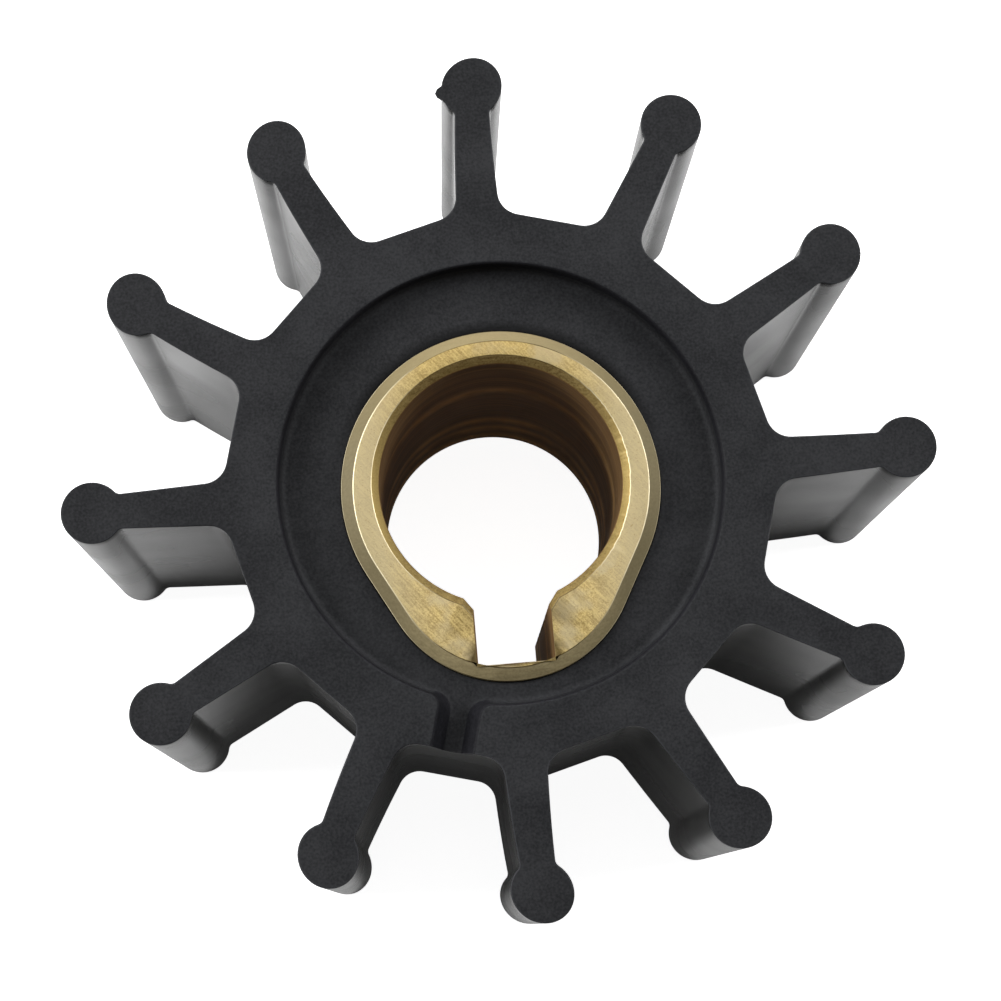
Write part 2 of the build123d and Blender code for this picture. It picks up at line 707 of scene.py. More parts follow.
@dataclass(frozen=True)
class BrassFinish:
    """Cut or ground brass.

    Attributes:
        name: The material's name.
        dark: Colour in the scratches.
        light: Colour of the clean metal.
        flank_light_and_patch_tone: Colour of random rubbed patches, and painted light and shade on
            both flanks.
        edge_highlight: Painted highlight on the rubbed edges on both flanks.
        painted_shade: Painted shade on the rubbed edges at the crown and the nose.
        roughness: Lowest and highest roughness.
        marks: Spacing of the tool marks in millimetres.
        depth: Depth of the tool marks in millimetres.
        metal: How much of the surface is bare metal, the rest being a dull film.
        contrast: How strongly the marks and patches show, from 0 to 1.
        crown: Share of the dark colour painted at the crown, opposite the keyway, as painted shade.
        flank: Distances from the keyway's middle plane where the painted flank colour and edge
            highlight start and are full.
        lay: Direction of the tool marks in degrees about the shaft axis.
        specular: Specular level of the film.
        patch: Size of the patches in millimetres.
        summit: Places on the Y axis where the painted crown shade starts and is full.
    """

    name: str
    dark: Triple
    light: Triple
    flank_light_and_patch_tone: Triple
    edge_highlight: Triple
    painted_shade: Triple
    roughness: Pair
    marks: float
    depth: float
    metal: float
    contrast: float
    crown: float
    flank: Pair = (4.5, 8.0)
    lay: float = 0.0
    specular: float = 0.3
    patch: float = 2.6
    summit: Pair = (2.0, 9.0)

    def material(self) -> bpy.types.Material:
        """Builds the node tree.

        Returns:
            The material.
        """
        recipe = Recipe(self.name)
        flank = recipe.zone(recipe.math("ABSOLUTE", recipe.along("X")), self.flank)
        lines = recipe.stretched((0.1, 1.0, 1.0), self.lay)
        scratches = recipe.noise(self.marks, detail=4.0, where=lines)
        grains = recipe.noise(self.marks * 0.8, detail=3.0)
        patches = recipe.noise(self.patch, detail=3.0)
        fine = recipe.mean(scratches, grains, 0.5)
        spread = 0.3 - 0.2 * self.contrast
        clean = recipe.blend(recipe.level(fine, (0.5 - spread, 0.5 + spread)), self.dark, self.light)
        patchy = recipe.level(patches, (0.46, 0.6), (0.0, 0.7 * self.contrast))
        # painted light and shade: both flanks get their own colour for how light falls there,
        # besides random rubbed patches
        rubbed = recipe.math("MAXIMUM", patchy, recipe.math("MULTIPLY", flank, 0.75))
        # painted shade: darker towards the crown
        crown = recipe.zone(recipe.along("Y"), self.summit, (0.0, self.crown))
        pits = recipe.level(grains, (0.36, 0.26), (0.0, self.contrast))
        tint = recipe.blend(rubbed, clean, self.flank_light_and_patch_tone)
        tint = recipe.blend(recipe.math("MAXIMUM", crown, pits), tint, self.dark)
        # painted highlight on rubbed edges on both flanks, painted shade on those at the crown and
        # nose
        edge = recipe.blend(flank, self.painted_shade, self.edge_highlight)
        rub = recipe.level(patches, (0.35, 0.6), (0.6, 1.0))
        worn = recipe.math("MULTIPLY", recipe.edge_wear(), rub)
        recipe.feed("Base Color", recipe.blend(worn, tint, edge))
        recipe.feed("Roughness", recipe.level(fine, MIDDLE, self.roughness))
        recipe.feed("Metallic", self.metal)
        recipe.feed("Specular IOR Level", self.specular)
        recipe.relief((patches, self.depth * 3.0), (grains, self.depth), (scratches, self.depth))
        return recipe.material


@dataclass(frozen=True)
class BoreFinish:
    """The bore's metal, painted dark as shade inside it, with lighter stripes round it, painted
    reflections of its turned rings.

    Attributes:
        name: The material's name.
        dark: Dark colour painted over the bore, as painted shade inside it.
        light: Colour of the lighter stripes, painted reflections of the turned rings.
        bands: Heights of those painted reflection stripes in millimetres.
        band_width: Their width in millimetres.
        wander: How far they stray up and down.
        cut: Spacing of the finest turned lines.
        patch: Size of the patches that break the bands up.
        roughness: Its roughness.
        metal: How much of the surface is bare metal.
        specular: Specular level of the dark painted-shade metal.
        depths: Depth of the patches and of the turned lines.
    """

    name: str
    dark: Triple
    light: Triple
    bands: tuple[float, ...]
    band_width: float
    wander: float = 0.6
    cut: float = 0.5
    patch: float = 4.0
    roughness: float = 0.5
    metal: float = 0.6
    specular: float = 0.15
    depths: Pair = (0.05, 0.03)

    def material(self) -> bpy.types.Material:
        """Builds the node tree.

        Returns:
            The material.
        """
        recipe = Recipe(self.name)
        cuts = recipe.noise(self.cut, detail=3.0, where=recipe.stretched((0.05, 0.05, 1.0)))
        patches = recipe.noise(self.patch, detail=3.0)
        wander = recipe.level(patches, MIDDLE, (-self.wander * MM, self.wander * MM))
        height = recipe.math("ADD", recipe.along("Z"), wander)
        broken = recipe.level(patches, (0.3, 0.6), (0.3, 1.0))
        shown = recipe.level(cuts, (0.45, 0.75), (0.0, 0.35))
        # painted reflections: lighter stripes at the turned rings' heights
        for band in self.bands:
            off = recipe.math("ABSOLUTE", recipe.math("SUBTRACT", height, band * MM))
            glow = recipe.zone(off, (0.0, self.band_width), (1.0, 0.0))
            shown = recipe.math("MAXIMUM", shown, recipe.math("MULTIPLY", glow, broken))
        recipe.feed("Base Color", recipe.blend(shown, self.dark, self.light))
        recipe.feed("Roughness", self.roughness)
        recipe.feed("Metallic", self.metal)
        recipe.feed("Specular IOR Level", self.specular)
        recipe.relief((patches, self.depths[0]), (cuts, self.depths[1]))
        return recipe.material


FLAT, SLOPING, STEEP = 0.9, 0.75, 0.3
"""Upright parts of a normal that mark flat, sloping and steep faces off."""


def paint(
    piece: Piece,
    finishes: list[RubberFinish | BrassFinish | BoreFinish],
    pick: Callable[[np.ndarray, np.ndarray], np.ndarray],
) -> None:
    """Gives a piece its finishes.

    Args:
        piece: The object.
        finishes: Its finishes, one for each material slot.
        pick: Called with the centres in millimetres and the normals of all faces, it
            gives the number of each face's finish.
    """
    piece.data.materials.clear()
    for finish in finishes:
        piece.data.materials.append(finish.material())
    faces = piece.data.polygons
    centres = np.zeros(len(faces) * 3)
    normals = np.zeros(len(faces) * 3)
    faces.foreach_get("center", centres)
    faces.foreach_get("normal", normals)
    chosen = pick(centres.reshape(-1, 3) / MM, normals.reshape(-1, 3))
    faces.foreach_set("material_index", chosen.astype(np.int32))


# --- rubber body ---


@dataclass(frozen=True)
class VanePlan:
    """Plan of the rim and its vanes, in millimetres.

    Attributes:
        tip_r: Radius out to the tips of the vanes.
        rim_r: Distance from the shaft axis to each of the rim's flats.
        bead_r: Radius of a tip bead.
        tip_half: Half a vane's thickness at its bead.
        root_half: Half a vane's thickness at the rim.
        root_fillet: Fillet between vane and rim.
        neck_fillet: Fillet between vane and bead.
        lean_deg: How far each vane leans, anticlockwise from +X in steps of one vane.
        sag: How far a chord may leave its arc.
        stride: Longest step along a vane.
        flat_steps: Steps along each of the rim's flats.
    """

    tip_r: float
    rim_r: float = 17.75
    bead_r: float = 2.025
    tip_half: float = 1.075
    root_half: float = 1.45
    root_fillet: float = 1.6
    neck_fillet: float = 0.5
    lean_deg: tuple[float, ...] = (0.2, 0.2, 0.0, -0.6, -0.8, -0.8, -0.1, 0.0, 0.7, 0.8, 0.3, 0.1)
    sag: float = 0.004
    stride: float = 1.2
    flat_steps: int = 4

    @property
    def tip_circle_r(self) -> float:
        """Radius of the circle through the bead centres."""
        return self.tip_r - self.bead_r

    @property
    def pitch(self) -> float:
        """The angle between two vanes in radians."""
        return 2.0 * math.pi / len(self.lean_deg)

    def half_vane(self) -> np.ndarray:
        """One vane's outline from the middle of its bead to the rim, on its left side.

        Returns:
            Plan points of a vane along +X, running inwards at positive y.
        """
        slope = math.atan((self.root_half - self.tip_half) / (self.tip_circle_r - self.rim_r))
        inward = np.array([-math.cos(slope), math.sin(slope)])
        outward = np.array([math.sin(slope), math.cos(slope)])
        bead = np.array([self.tip_circle_r, 0.0])
        corner = np.array([self.tip_circle_r, self.tip_half])
        neck_line = corner + self.neck_fillet * outward
        neck_gap = self.bead_r + self.neck_fillet
        neck = neck_line + inward * self.leaves(neck_line - bead, inward, neck_gap)
        flat = polar(1.0, self.pitch / 2.0)
        root_line = corner + self.root_fillet * outward
        root_gap = self.rim_r + self.root_fillet
        root = root_line + inward * float((root_gap - flat @ root_line) / (flat @ inward))
        side = math.atan2(-outward[1], -outward[0])
        touch = math.atan2(*(neck - bead)[::-1])
        pen = Pen(self.sag, self.stride)
        pen.arc(bead, self.bead_r, 0.0, touch)
        pen.arc(neck, self.neck_fillet, touch - math.pi, side)
        pen.run(root - self.root_fillet * outward)
        pen.arc(root, self.root_fillet, side, self.pitch / 2.0 - math.pi)
        return pen.points()

    @staticmethod
    def leaves(start: np.ndarray, way: np.ndarray, radius: float) -> float:
        """How far along a line, from its start, it leaves a circle about the origin."""
        middle = -float(start @ way)
        return middle + math.sqrt(middle**2 - float(start @ start) + radius**2)

    def leant(self, points: np.ndarray, lean: float) -> np.ndarray:
        """Bends a vane sideways about its root, ever more towards its tip.

        Args:
            points: Plan points.
            lean: How far the tip moves round the shaft axis, in radians.

        Returns:
            The bent points. Those on the rim stay where they are.
        """
        out = np.linalg.norm(points, axis=1)
        share = np.clip((out - self.rim_r) / (self.tip_circle_r - self.rim_r), 0.0, None)
        return turned(points, lean * share**2)

    def outline(self) -> Outline:
        """The whole plan outline.

        Returns:
            Rim and vanes in one closed outline.
        """
        half = self.half_vane()
        vane = np.concatenate([half[:0:-1] * (1.0, -1.0), half])
        start = half[-1:]
        facing = turned(start * (1.0, -1.0), self.pitch)
        steps = np.linspace(0.0, 1.0, self.flat_steps + 1)[1:-1, None]
        rim = start + (facing - start) * steps
        rows = []
        for index, lean in enumerate(self.lean_deg):
            rows.append(turned(self.leant(vane, math.radians(lean)), index * self.pitch))
            rows.append(turned(rim, index * self.pitch))
        return Outline.through(np.concatenate(rows))


@dataclass(frozen=True)
class RecessCore:
    """The core that forms a recess, and at the front its relief channel.

    Attributes:
        channel_deg: Direction of the channel about the shaft axis.
        run_out_r: Radius to which the channel's core runs out.
        mouth_r: Radius of the recess at the face.
        depth: Its depth.
        draft_deg: Draft of its wall.
        mouth_half: Half the channel's width at the face.
        floor_half: Half the width of its floor.
        corner_r: Radius where the channel's flanks leave the recess wall.
        lip: Reach of the rounded lip.
        foot: Reach of the rounding along the recess floor.
        groove_foot: Reach of the rounding along the channel's floor.
        proud: How far the lip's end stands outside the face, for a clean cut.
        around: Points round a recess without a channel.
        half_around: Points round half of one with a channel.
        along: Points along a flank of the channel.
        bend: Steps round each corner of the channel.
        rounding: Strips in each rounding of its profile.
    """

    channel_deg: float
    run_out_r: float
    mouth_r: float = 14.5
    depth: float = 1.6
    draft_deg: float = 6.0
    mouth_half: float = 1.35
    floor_half: float = 0.55
    corner_r: float = 0.8
    lip: float = 0.25
    foot: float = 0.5
    groove_foot: float = 0.25
    proud: float = 0.004
    around: int = 144
    half_around: int = 90
    along: int = 8
    bend: int = 8
    rounding: int = 6

    def plain(self) -> tuple[Outline, np.ndarray]:
        """Outline of a recess without a channel, and its points' share of the flank, 0."""
        angles = np.linspace(0.0, 2.0 * math.pi, self.around, endpoint=False)
        return Outline(polar(self.mouth_r, angles), polar(1.0, angles)), np.zeros(self.around)

    def channelled(self) -> tuple[Outline, np.ndarray]:
        """Outline of a recess with its channel.

        Returns:
            The outline at the face, and for each point how much of its wall is the
            channel's flank, from 0 on the recess wall to 1 on the flank.
        """
        offset = self.mouth_half + self.corner_r
        reach = math.sqrt((self.mouth_r + self.corner_r) ** 2 - offset**2)
        leaves = math.atan2(offset, reach)
        run = np.linspace(self.run_out_r, reach, self.along)
        side = np.column_stack([run, np.full(self.along, self.mouth_half)])
        bend_at = np.linspace(-math.pi / 2.0, leaves - math.pi, self.bend + 1)[1:]
        bend = np.array([reach, offset]) + polar(self.corner_r, bend_at)
        round_at = np.linspace(leaves, math.pi, self.half_around)[1:]
        points = np.concatenate([side, bend, polar(self.mouth_r, round_at)])
        across = np.tile((0.0, 1.0), (self.along, 1))
        normals = np.concatenate([across, -polar(1.0, bend_at), polar(1.0, round_at)])
        fade = np.linspace(1.0, 0.0, self.bend + 1)[1:]
        share = np.concatenate([np.ones(self.along), fade, np.zeros(len(round_at))])
        flip = np.array([1.0, -1.0])
        points = np.concatenate([points, (points * flip)[-2::-1]])
        normals = np.concatenate([normals, (normals * flip)[-2::-1]])
        share = np.concatenate([share, share[-2::-1]])
        turn = math.radians(self.channel_deg)
        return Outline(turned(points, turn), turned(normals, turn)), share

    def profile(self, slope: float, foot: float) -> np.ndarray:
        """Profile of a wall from the floor to above the face.

        Args:
            slope: How much the wall leans in per millimetre of depth.
            foot: Reach of the rounding at its foot.

        Returns:
            Its (inset, height above the face) points.
        """
        drawn = [
            Corner(self.mouth_r, -self.depth),
            Corner(slope * self.depth, -self.depth, foot),
            Corner(slope * self.depth / 2.0, -self.depth / 2.0),
            Corner(0.0, self.proud, self.lip),
            Corner(-self.mouth_r, self.proud),
        ]
        return np.array(eased(drawn, self.rounding) + [(-self.lip, self.depth)])

    def build(self, name: str, face: float, end: End) -> Piece:
        """Builds the core.

        Args:
            name: The object's name.
            face: Height of the face that it cuts.
            end: The end that it lies at.

        Returns:
            The core as a closed solid.
        """
        outline, share = self.channelled() if end is End.FRONT else self.plain()
        wall = self.profile(math.tan(math.radians(self.draft_deg)), self.foot)
        flank = self.profile((self.mouth_half - self.floor_half) / self.depth, self.groove_foot)
        rings = []
        for on_wall, on_flank in zip(wall, flank):
            inset, height = on_wall[:, None] + (on_flank - on_wall)[:, None] * share
            rings.append(outline.ring(inset, face + end.value * height))
        return solid(name, rings)


@dataclass(frozen=True)
class InsertPlan:
    """Outer plan of the brass insert, a round part and a nose with tangent flanks.

    Attributes:
        round_r: Radius of the round part.
        shift: How far its centre lies off the shaft axis, towards the key.
        nose_tip: Distance from the shaft axis to the tip of the nose.
        nose_r: Radius of the nose.
        sag: How far a chord may leave its arc.
        stride: Longest step along a flank.
    """

    round_r: float
    shift: float
    nose_tip: float
    nose_r: float = 8.4
    sag: float = 0.003
    stride: float = 1.0

    def outline(self) -> Outline:
        """Draws the plan.

        Returns:
            The closed outline.
        """
        nose = np.array([0.0, self.nose_r - self.nose_tip])
        hub = np.array([0.0, -self.shift])
        lean = math.asin((self.round_r - self.nose_r) / float(hub[1] - nose[1]))
        pen = Pen(self.sag, self.stride)
        pen.arc(hub, self.round_r, -lean, math.pi + lean)
        pen.run(nose + polar(self.nose_r, math.pi + lean))
        pen.arc(nose, self.nose_r, math.pi + lean, 2.0 * math.pi - lean)
        pen.run(hub + polar(self.round_r, -lean))
        return Outline.through(pen.points())


@dataclass(frozen=True)
class Nib:
    """A small nib of flash left on one bead by the mould.

    Attributes:
        vane: The vane that has it, counted anticlockwise from +X.
        bead_deg: Its place round the bead, from the vane's outward direction.
        width_deg: Its width round the bead.
        proud: How far it stands out.
        drop: How far down the bead it runs from the front face.
    """

    vane: int = 3
    bead_deg: float = 98.0
    width_deg: float = 14.0
    proud: float = 0.45
    drop: float = 1.2


@dataclass(frozen=True)
class RubberBody:
    """The moulded rubber body.

    Attributes:
        vanes: Plan of its rim and vanes.
        core: The core of its front recess and channel.
        insert: Plan of the insert that its pocket holds.
        width: Its width along the shaft.
        face: Finish of its ground faces.
        side: Finish of its moulded sides.
        wall: Darker finish of the walls of its recesses and channel, painted shade.
        nib: The flash on one bead.
        crevice: Gap that the rubber leaves round the front of the insert.
        front_ease: Reach of the rounding along its front edges.
        back_ease: Reach of the rounding along its back edges.
        rim_margin: How far inside the rim's flats the sides' finish may start.
        lip_margin: How far outside a recess its wall's finish may end.
        bend_share: Share of the channel's corners that has its walls' finish.
    """

    vanes: VanePlan
    core: RecessCore
    insert: InsertPlan
    width: float
    face: RubberFinish
    side: RubberFinish
    wall: RubberFinish
    nib: Nib = Nib()
    crevice: float = 0.07
    front_ease: float = 0.12
    back_ease: float = 0.35
    rim_margin: float = 0.5
    lip_margin: float = 0.3
    bend_share: float = 0.6

    def nib_reach(self, outline: Outline) -> np.ndarray:
        """How far the nib stands out along the front face.

        Args:
            outline: The body's outline.

        Returns:
            The reach at each of its points.
        """
        turn = self.nib.vane * self.vanes.pitch
        lean = math.radians(self.vanes.lean_deg[self.nib.vane])
        bead = polar(self.vanes.tip_circle_r, turn + lean)
        off = turned(outline.points - bead, -turn - lean)
        around = np.degrees(np.arctan2(off[:, 1], off[:, 0])) - self.nib.bead_deg
        near = np.hypot(*off.T) < self.vanes.bead_r + self.nib.proud
        peak = np.clip(1.0 - (around / self.nib.width_deg) ** 2, 0.0, 1.0)
        return np.where(near, peak, 0.0) * self.nib.proud

    def blank(self) -> Piece:
        """The body before its recesses and its pocket.

        Returns:
            A closed solid with eased edges.
        """
        outline = self.vanes.outline()
        drawn = [
            Corner(self.vanes.rim_r, 0.0),
            Corner(0.0, 0.0, self.back_ease),
            Corner(0.0, self.width - self.nib.drop),
            Corner(0.0, self.width, self.front_ease),
            Corner(self.vanes.rim_r, self.width),
        ]
        nib = self.nib_reach(outline)
        rings = []
        for inset, height in eased(drawn):
            share = smooth_step(1.0 - (self.width - height) / self.nib.drop)
            rings.append(outline.ring(inset - nib * share, height))
        return solid("vane_body", rings)

    def pocket(self) -> Piece:
        """The space for the insert.

        Returns:
            A closed solid, with a crevice round the insert in the front recess.
        """
        outline = self.insert.outline()
        floor = self.width - self.core.depth
        drawn = (
            (0.0, -self.core.depth),
            (0.0, floor - self.crevice * 3.0),
            (-self.crevice, floor),
            (-self.crevice, self.width + self.core.depth),
        )
        return solid("pocket", [outline.ring(*spot) for spot in drawn])

    def build(self) -> Piece:
        """Builds the body's mesh.

        Returns:
            The body, in place.
        """
        body = self.blank()
        front = self.core.build("front_core", self.width, End.FRONT)
        back = self.core.build("back_core", 0.0, End.BACK)
        carve(body, [front, back, self.pocket()])
        mark_edges(body, low=14.0, high=30.0)
        shade(body)
        return body

    def pick(self, centres: np.ndarray, normals: np.ndarray) -> np.ndarray:
        """Chooses each face's finish.

        Args:
            centres: The faces' centres in millimetres.
            normals: Their normals.

        Returns:
            0 for a ground face, 1 for a moulded side and 2 for a recess wall.
        """
        out = np.hypot(centres[:, 0], centres[:, 1])
        upright = np.abs(normals[:, 2])
        along, across = turned(centres[:, :2], -math.radians(self.core.channel_deg)).T
        reach = self.core.mouth_half + self.core.corner_r * self.bend_share
        channel = (along > 0.0) & (np.abs(across) < reach) & (out < self.vanes.rim_r)
        carved = channel | (out < self.core.mouth_r + self.lip_margin)
        sunk = np.minimum(np.abs(centres[:, 2]), np.abs(self.width - centres[:, 2]))
        lip = (upright < FLAT) & (sunk < self.core.depth / 2.0)
        wall = carved & (lip | (channel & (upright < SLOPING)))
        side = (out > self.vanes.rim_r - self.rim_margin) & (upright < STEEP)
        return np.select([wall, side], [2, 1], 0)

    def dress(self, body: Piece) -> None:
        """Gives the faces their ground finish, the sides their moulded one, the recess walls painted
        shade.
        """
        paint(body, [self.face, self.side, self.wall], self.pick)


# --- brass insert ---


@dataclass(frozen=True)
class BoreInsert:
    """The turned and broached brass insert.

    Attributes:
        plan: Its outer plan.
        back: Height of its back end.
        front: Height of its front end.
        ground: Finish of its faces.
        turned_edge: Finish of its outer bevels.
        bore_edge: Finish of the bore's chamfers.
        bore: Finish of the bore and keyway.
        bore_r: Radius of the bore.
        key_half: Half the keyway's width.
        key_floor: Distance from the shaft axis to the keyway's floor.
        front_bevel: Outer bevel on the front end.
        back_bevel: Outer bevel on the back end.
        bore_bevel: Chamfer at both ends of the bore.
        key_bevel: Reach of the chamfer at both ends of the keyway.
        corner_break: Reach of the broken corners between bore and keyway.
        ease: Reach of the rounding left on its edges.
        rings: Heights of the turned rings in the bore.
        ring_depth: Their depth.
        ring_reach: Half their width at the bore's wall.
        ring_floor: Half their width at the bottom.
        burr: Reach of the torn metal along the bore's front edge.
        tears: Waves of the torn metal, each with its count round the bore and its start.
        around: Points round the bore.
        key_points: Points along each side of the keyway.
        slack: How far outside the bore its finish may end.
        chamfer_slack: How far outside a chamfer of the bore its finish may end.
    """

    plan: InsertPlan
    back: float
    front: float
    ground: BrassFinish
    turned_edge: BrassFinish
    bore_edge: BrassFinish
    bore: BoreFinish
    bore_r: float = 7.94
    key_half: float = 2.45
    key_floor: float = 11.8
    front_bevel: float = 0.8
    back_bevel: float = 0.4
    bore_bevel: float = 0.5
    key_bevel: float = 0.1
    corner_break: float = 0.6
    ease: float = 0.055
    rings: tuple[float, ...] = (7.4, 10.6, 13.5, 21.8)
    ring_depth: float = 0.03
    ring_reach: float = 0.9
    ring_floor: float = 0.4
    burr: float = 0.03
    tears: tuple[Pair, ...] = ((9.0, 0.6), (23.0, 0.0), (71.0, 1.0), (113.0, 2.0), (47.0, 0.0))
    around: int = 361
    key_points: int = 4
    slack: float = 0.01
    chamfer_slack: float = 0.1

    def ragged(self, around: np.ndarray) -> np.ndarray:
        """How torn the bore's front edge is, most on the right.

        Args:
            around: Angles round the bore in radians.

        Returns:
            The share of the burr's reach at each of them.
        """
        worst, least, middle = 2.5, 0.08, -0.15
        torn = sum(np.sin(count * around + start) for count, start in self.tears)
        right = np.clip(np.cos(around - middle) * 2.0 - 0.6, least, 1.0)
        return np.clip(torn, -1.0, worst) / worst * right

    def inner_ring(self, grow: float, height: float) -> np.ndarray:
        """One ring round the bore and keyway.

        Args:
            grow: How much the bore's radius grows there.
            height: The ring's height.

        Returns:
            Its points, anticlockwise from the keyway's right side.
        """
        from_front = self.front - height
        near = min(height - self.back, from_front)
        soft = max(0.0, self.key_bevel * (1.0 - near / self.bore_bevel))
        radius, half, floor = self.bore_r + grow, self.key_half + soft, self.key_floor + soft
        beside = half + self.corner_break
        first = math.atan2(-math.sqrt(radius**2 - beside**2), beside)
        mouth = -math.sqrt(radius**2 - half**2) - self.corner_break
        around = np.linspace(first, math.pi - first, self.around)
        torn = self.burr * max(0.0, 1.0 - from_front / self.bore_bevel) * self.ragged(around)
        count = self.key_points
        wall = np.linspace(mouth, -floor, count)
        left = np.column_stack([np.full(count, -half), wall])
        bottom = np.column_stack([np.linspace(-half, half, count), np.full(count, -floor)])[1:-1]
        right = np.column_stack([np.full(count, half), wall[::-1]])
        bore = polar(1.0, around) * (radius + torn)[:, None]
        plan = np.concatenate([bore, left, bottom, right])
        return np.column_stack([plan, np.full(len(plan), height)])

    def turned_rings(self) -> list[Corner]:
        """Profile of the bore's turned rings.

        Returns:
            Four corners for each, from the back end to the front.
        """
        corners = []
        for height in sorted(self.rings):
            corners.append(Corner(0.0, height - self.ring_reach))
            corners.append(Corner(self.ring_depth, height - self.ring_floor))
            corners.append(Corner(self.ring_depth, height + self.ring_floor))
            corners.append(Corner(0.0, height + self.ring_reach))
        return corners

    def profile(self, back: float, front: float, between: list[Corner]) -> list[Pair]:
        """Profile of a wall with a bevel at each end.

        Args:
            back: Reach of the bevel on the back end.
            front: Reach of the bevel on the front end.
            between: Corners between the two bevels.

        Returns:
            Its (inset, height) points, from the back end to the front.
        """
        drawn = [
            Corner(self.bore_r, self.back),
            Corner(back, self.back, self.ease),
            Corner(0.0, self.back + back, self.ease),
            *between,
            Corner(0.0, self.front - front, self.ease),
            Corner(front, self.front, self.ease),
            Corner(self.bore_r, self.front),
        ]
        return eased(drawn)

    def inner_rings(self) -> list[np.ndarray]:
        """The rings of the bore and keyway, from the back end to the front."""
        profile = self.profile(self.bore_bevel, self.bore_bevel, self.turned_rings())
        return [self.inner_ring(*spot) for spot in profile]

    def outer_rings(self) -> list[np.ndarray]:
        """The rings of the outside, from the back end to the front."""
        outline = self.plan.outline()
        return [outline.ring(*spot) for spot in self.profile(self.back_bevel, self.front_bevel, [])]

    def build(self) -> Piece:
        """Builds the insert's mesh.

        Returns:
            The insert, in place.
        """
        skin = Skin()
        outer_back, outer_front = skin.wall(self.outer_rings())
        inner_back, inner_front = skin.wall(self.inner_rings())
        skin.span(outer_back, inner_back)
        skin.span(outer_front, inner_front)
        insert = skin.piece("bore_insert")
        mark_edges(insert, low=5.0, high=15.0)
        shade(insert)
        return insert

    def pick(self, centres: np.ndarray, normals: np.ndarray) -> np.ndarray:
        """Chooses each face's finish.

        Args:
            centres: The faces' centres in millimetres.
            normals: Their normals.

        Returns:
            0 for a flat face, 1 for an outer bevel, 2 for a bore chamfer and 3 inside.
        """
        out = np.hypot(centres[:, 0], centres[:, 1])
        in_key = (np.abs(centres[:, 0]) < self.key_half + self.ease) & (centres[:, 1] < 0.0)
        flat = np.abs(normals[:, 2]) > FLAT
        in_bore = out < self.bore_r + self.ring_depth + self.slack
        inside = in_bore | (in_key & (out < self.key_floor + self.ease))
        chamfer = out < self.bore_r + self.bore_bevel + self.chamfer_slack
        return np.select([flat, inside, chamfer], [0, 3, 2], 1)

    def dress(self, insert: Piece) -> None:
        """Gives faces, bevels and bore their finishes."""
        paint(insert, [self.ground, self.turned_edge, self.bore_edge, self.bore], self.pick)


# --- studio ---


@dataclass(frozen=True)
class Lamp:
    """A rectangular lamp that faces the object.

    Attributes:
        name: Its name.
        place: Its place in millimetres.
        sides: Its width and its height in millimetres.
        power: Its power in watts.
    """

    name: str
    place: Triple
    sides: Pair
    power: float

    def hang(self) -> None:
        """Hangs the lamp."""
        data = bpy.data.lights.new(self.name, "AREA")
        data.shape = "RECTANGLE"
        data.size, data.size_y = (side * MM for side in self.sides)
        data.energy = self.power
        made = placed(self.name, data)
        made.location = Vector(self.place) * MM
        made.rotation_mode = "QUATERNION"
        made.rotation_quaternion = (-made.location).to_track_quat("-Z", "Y")


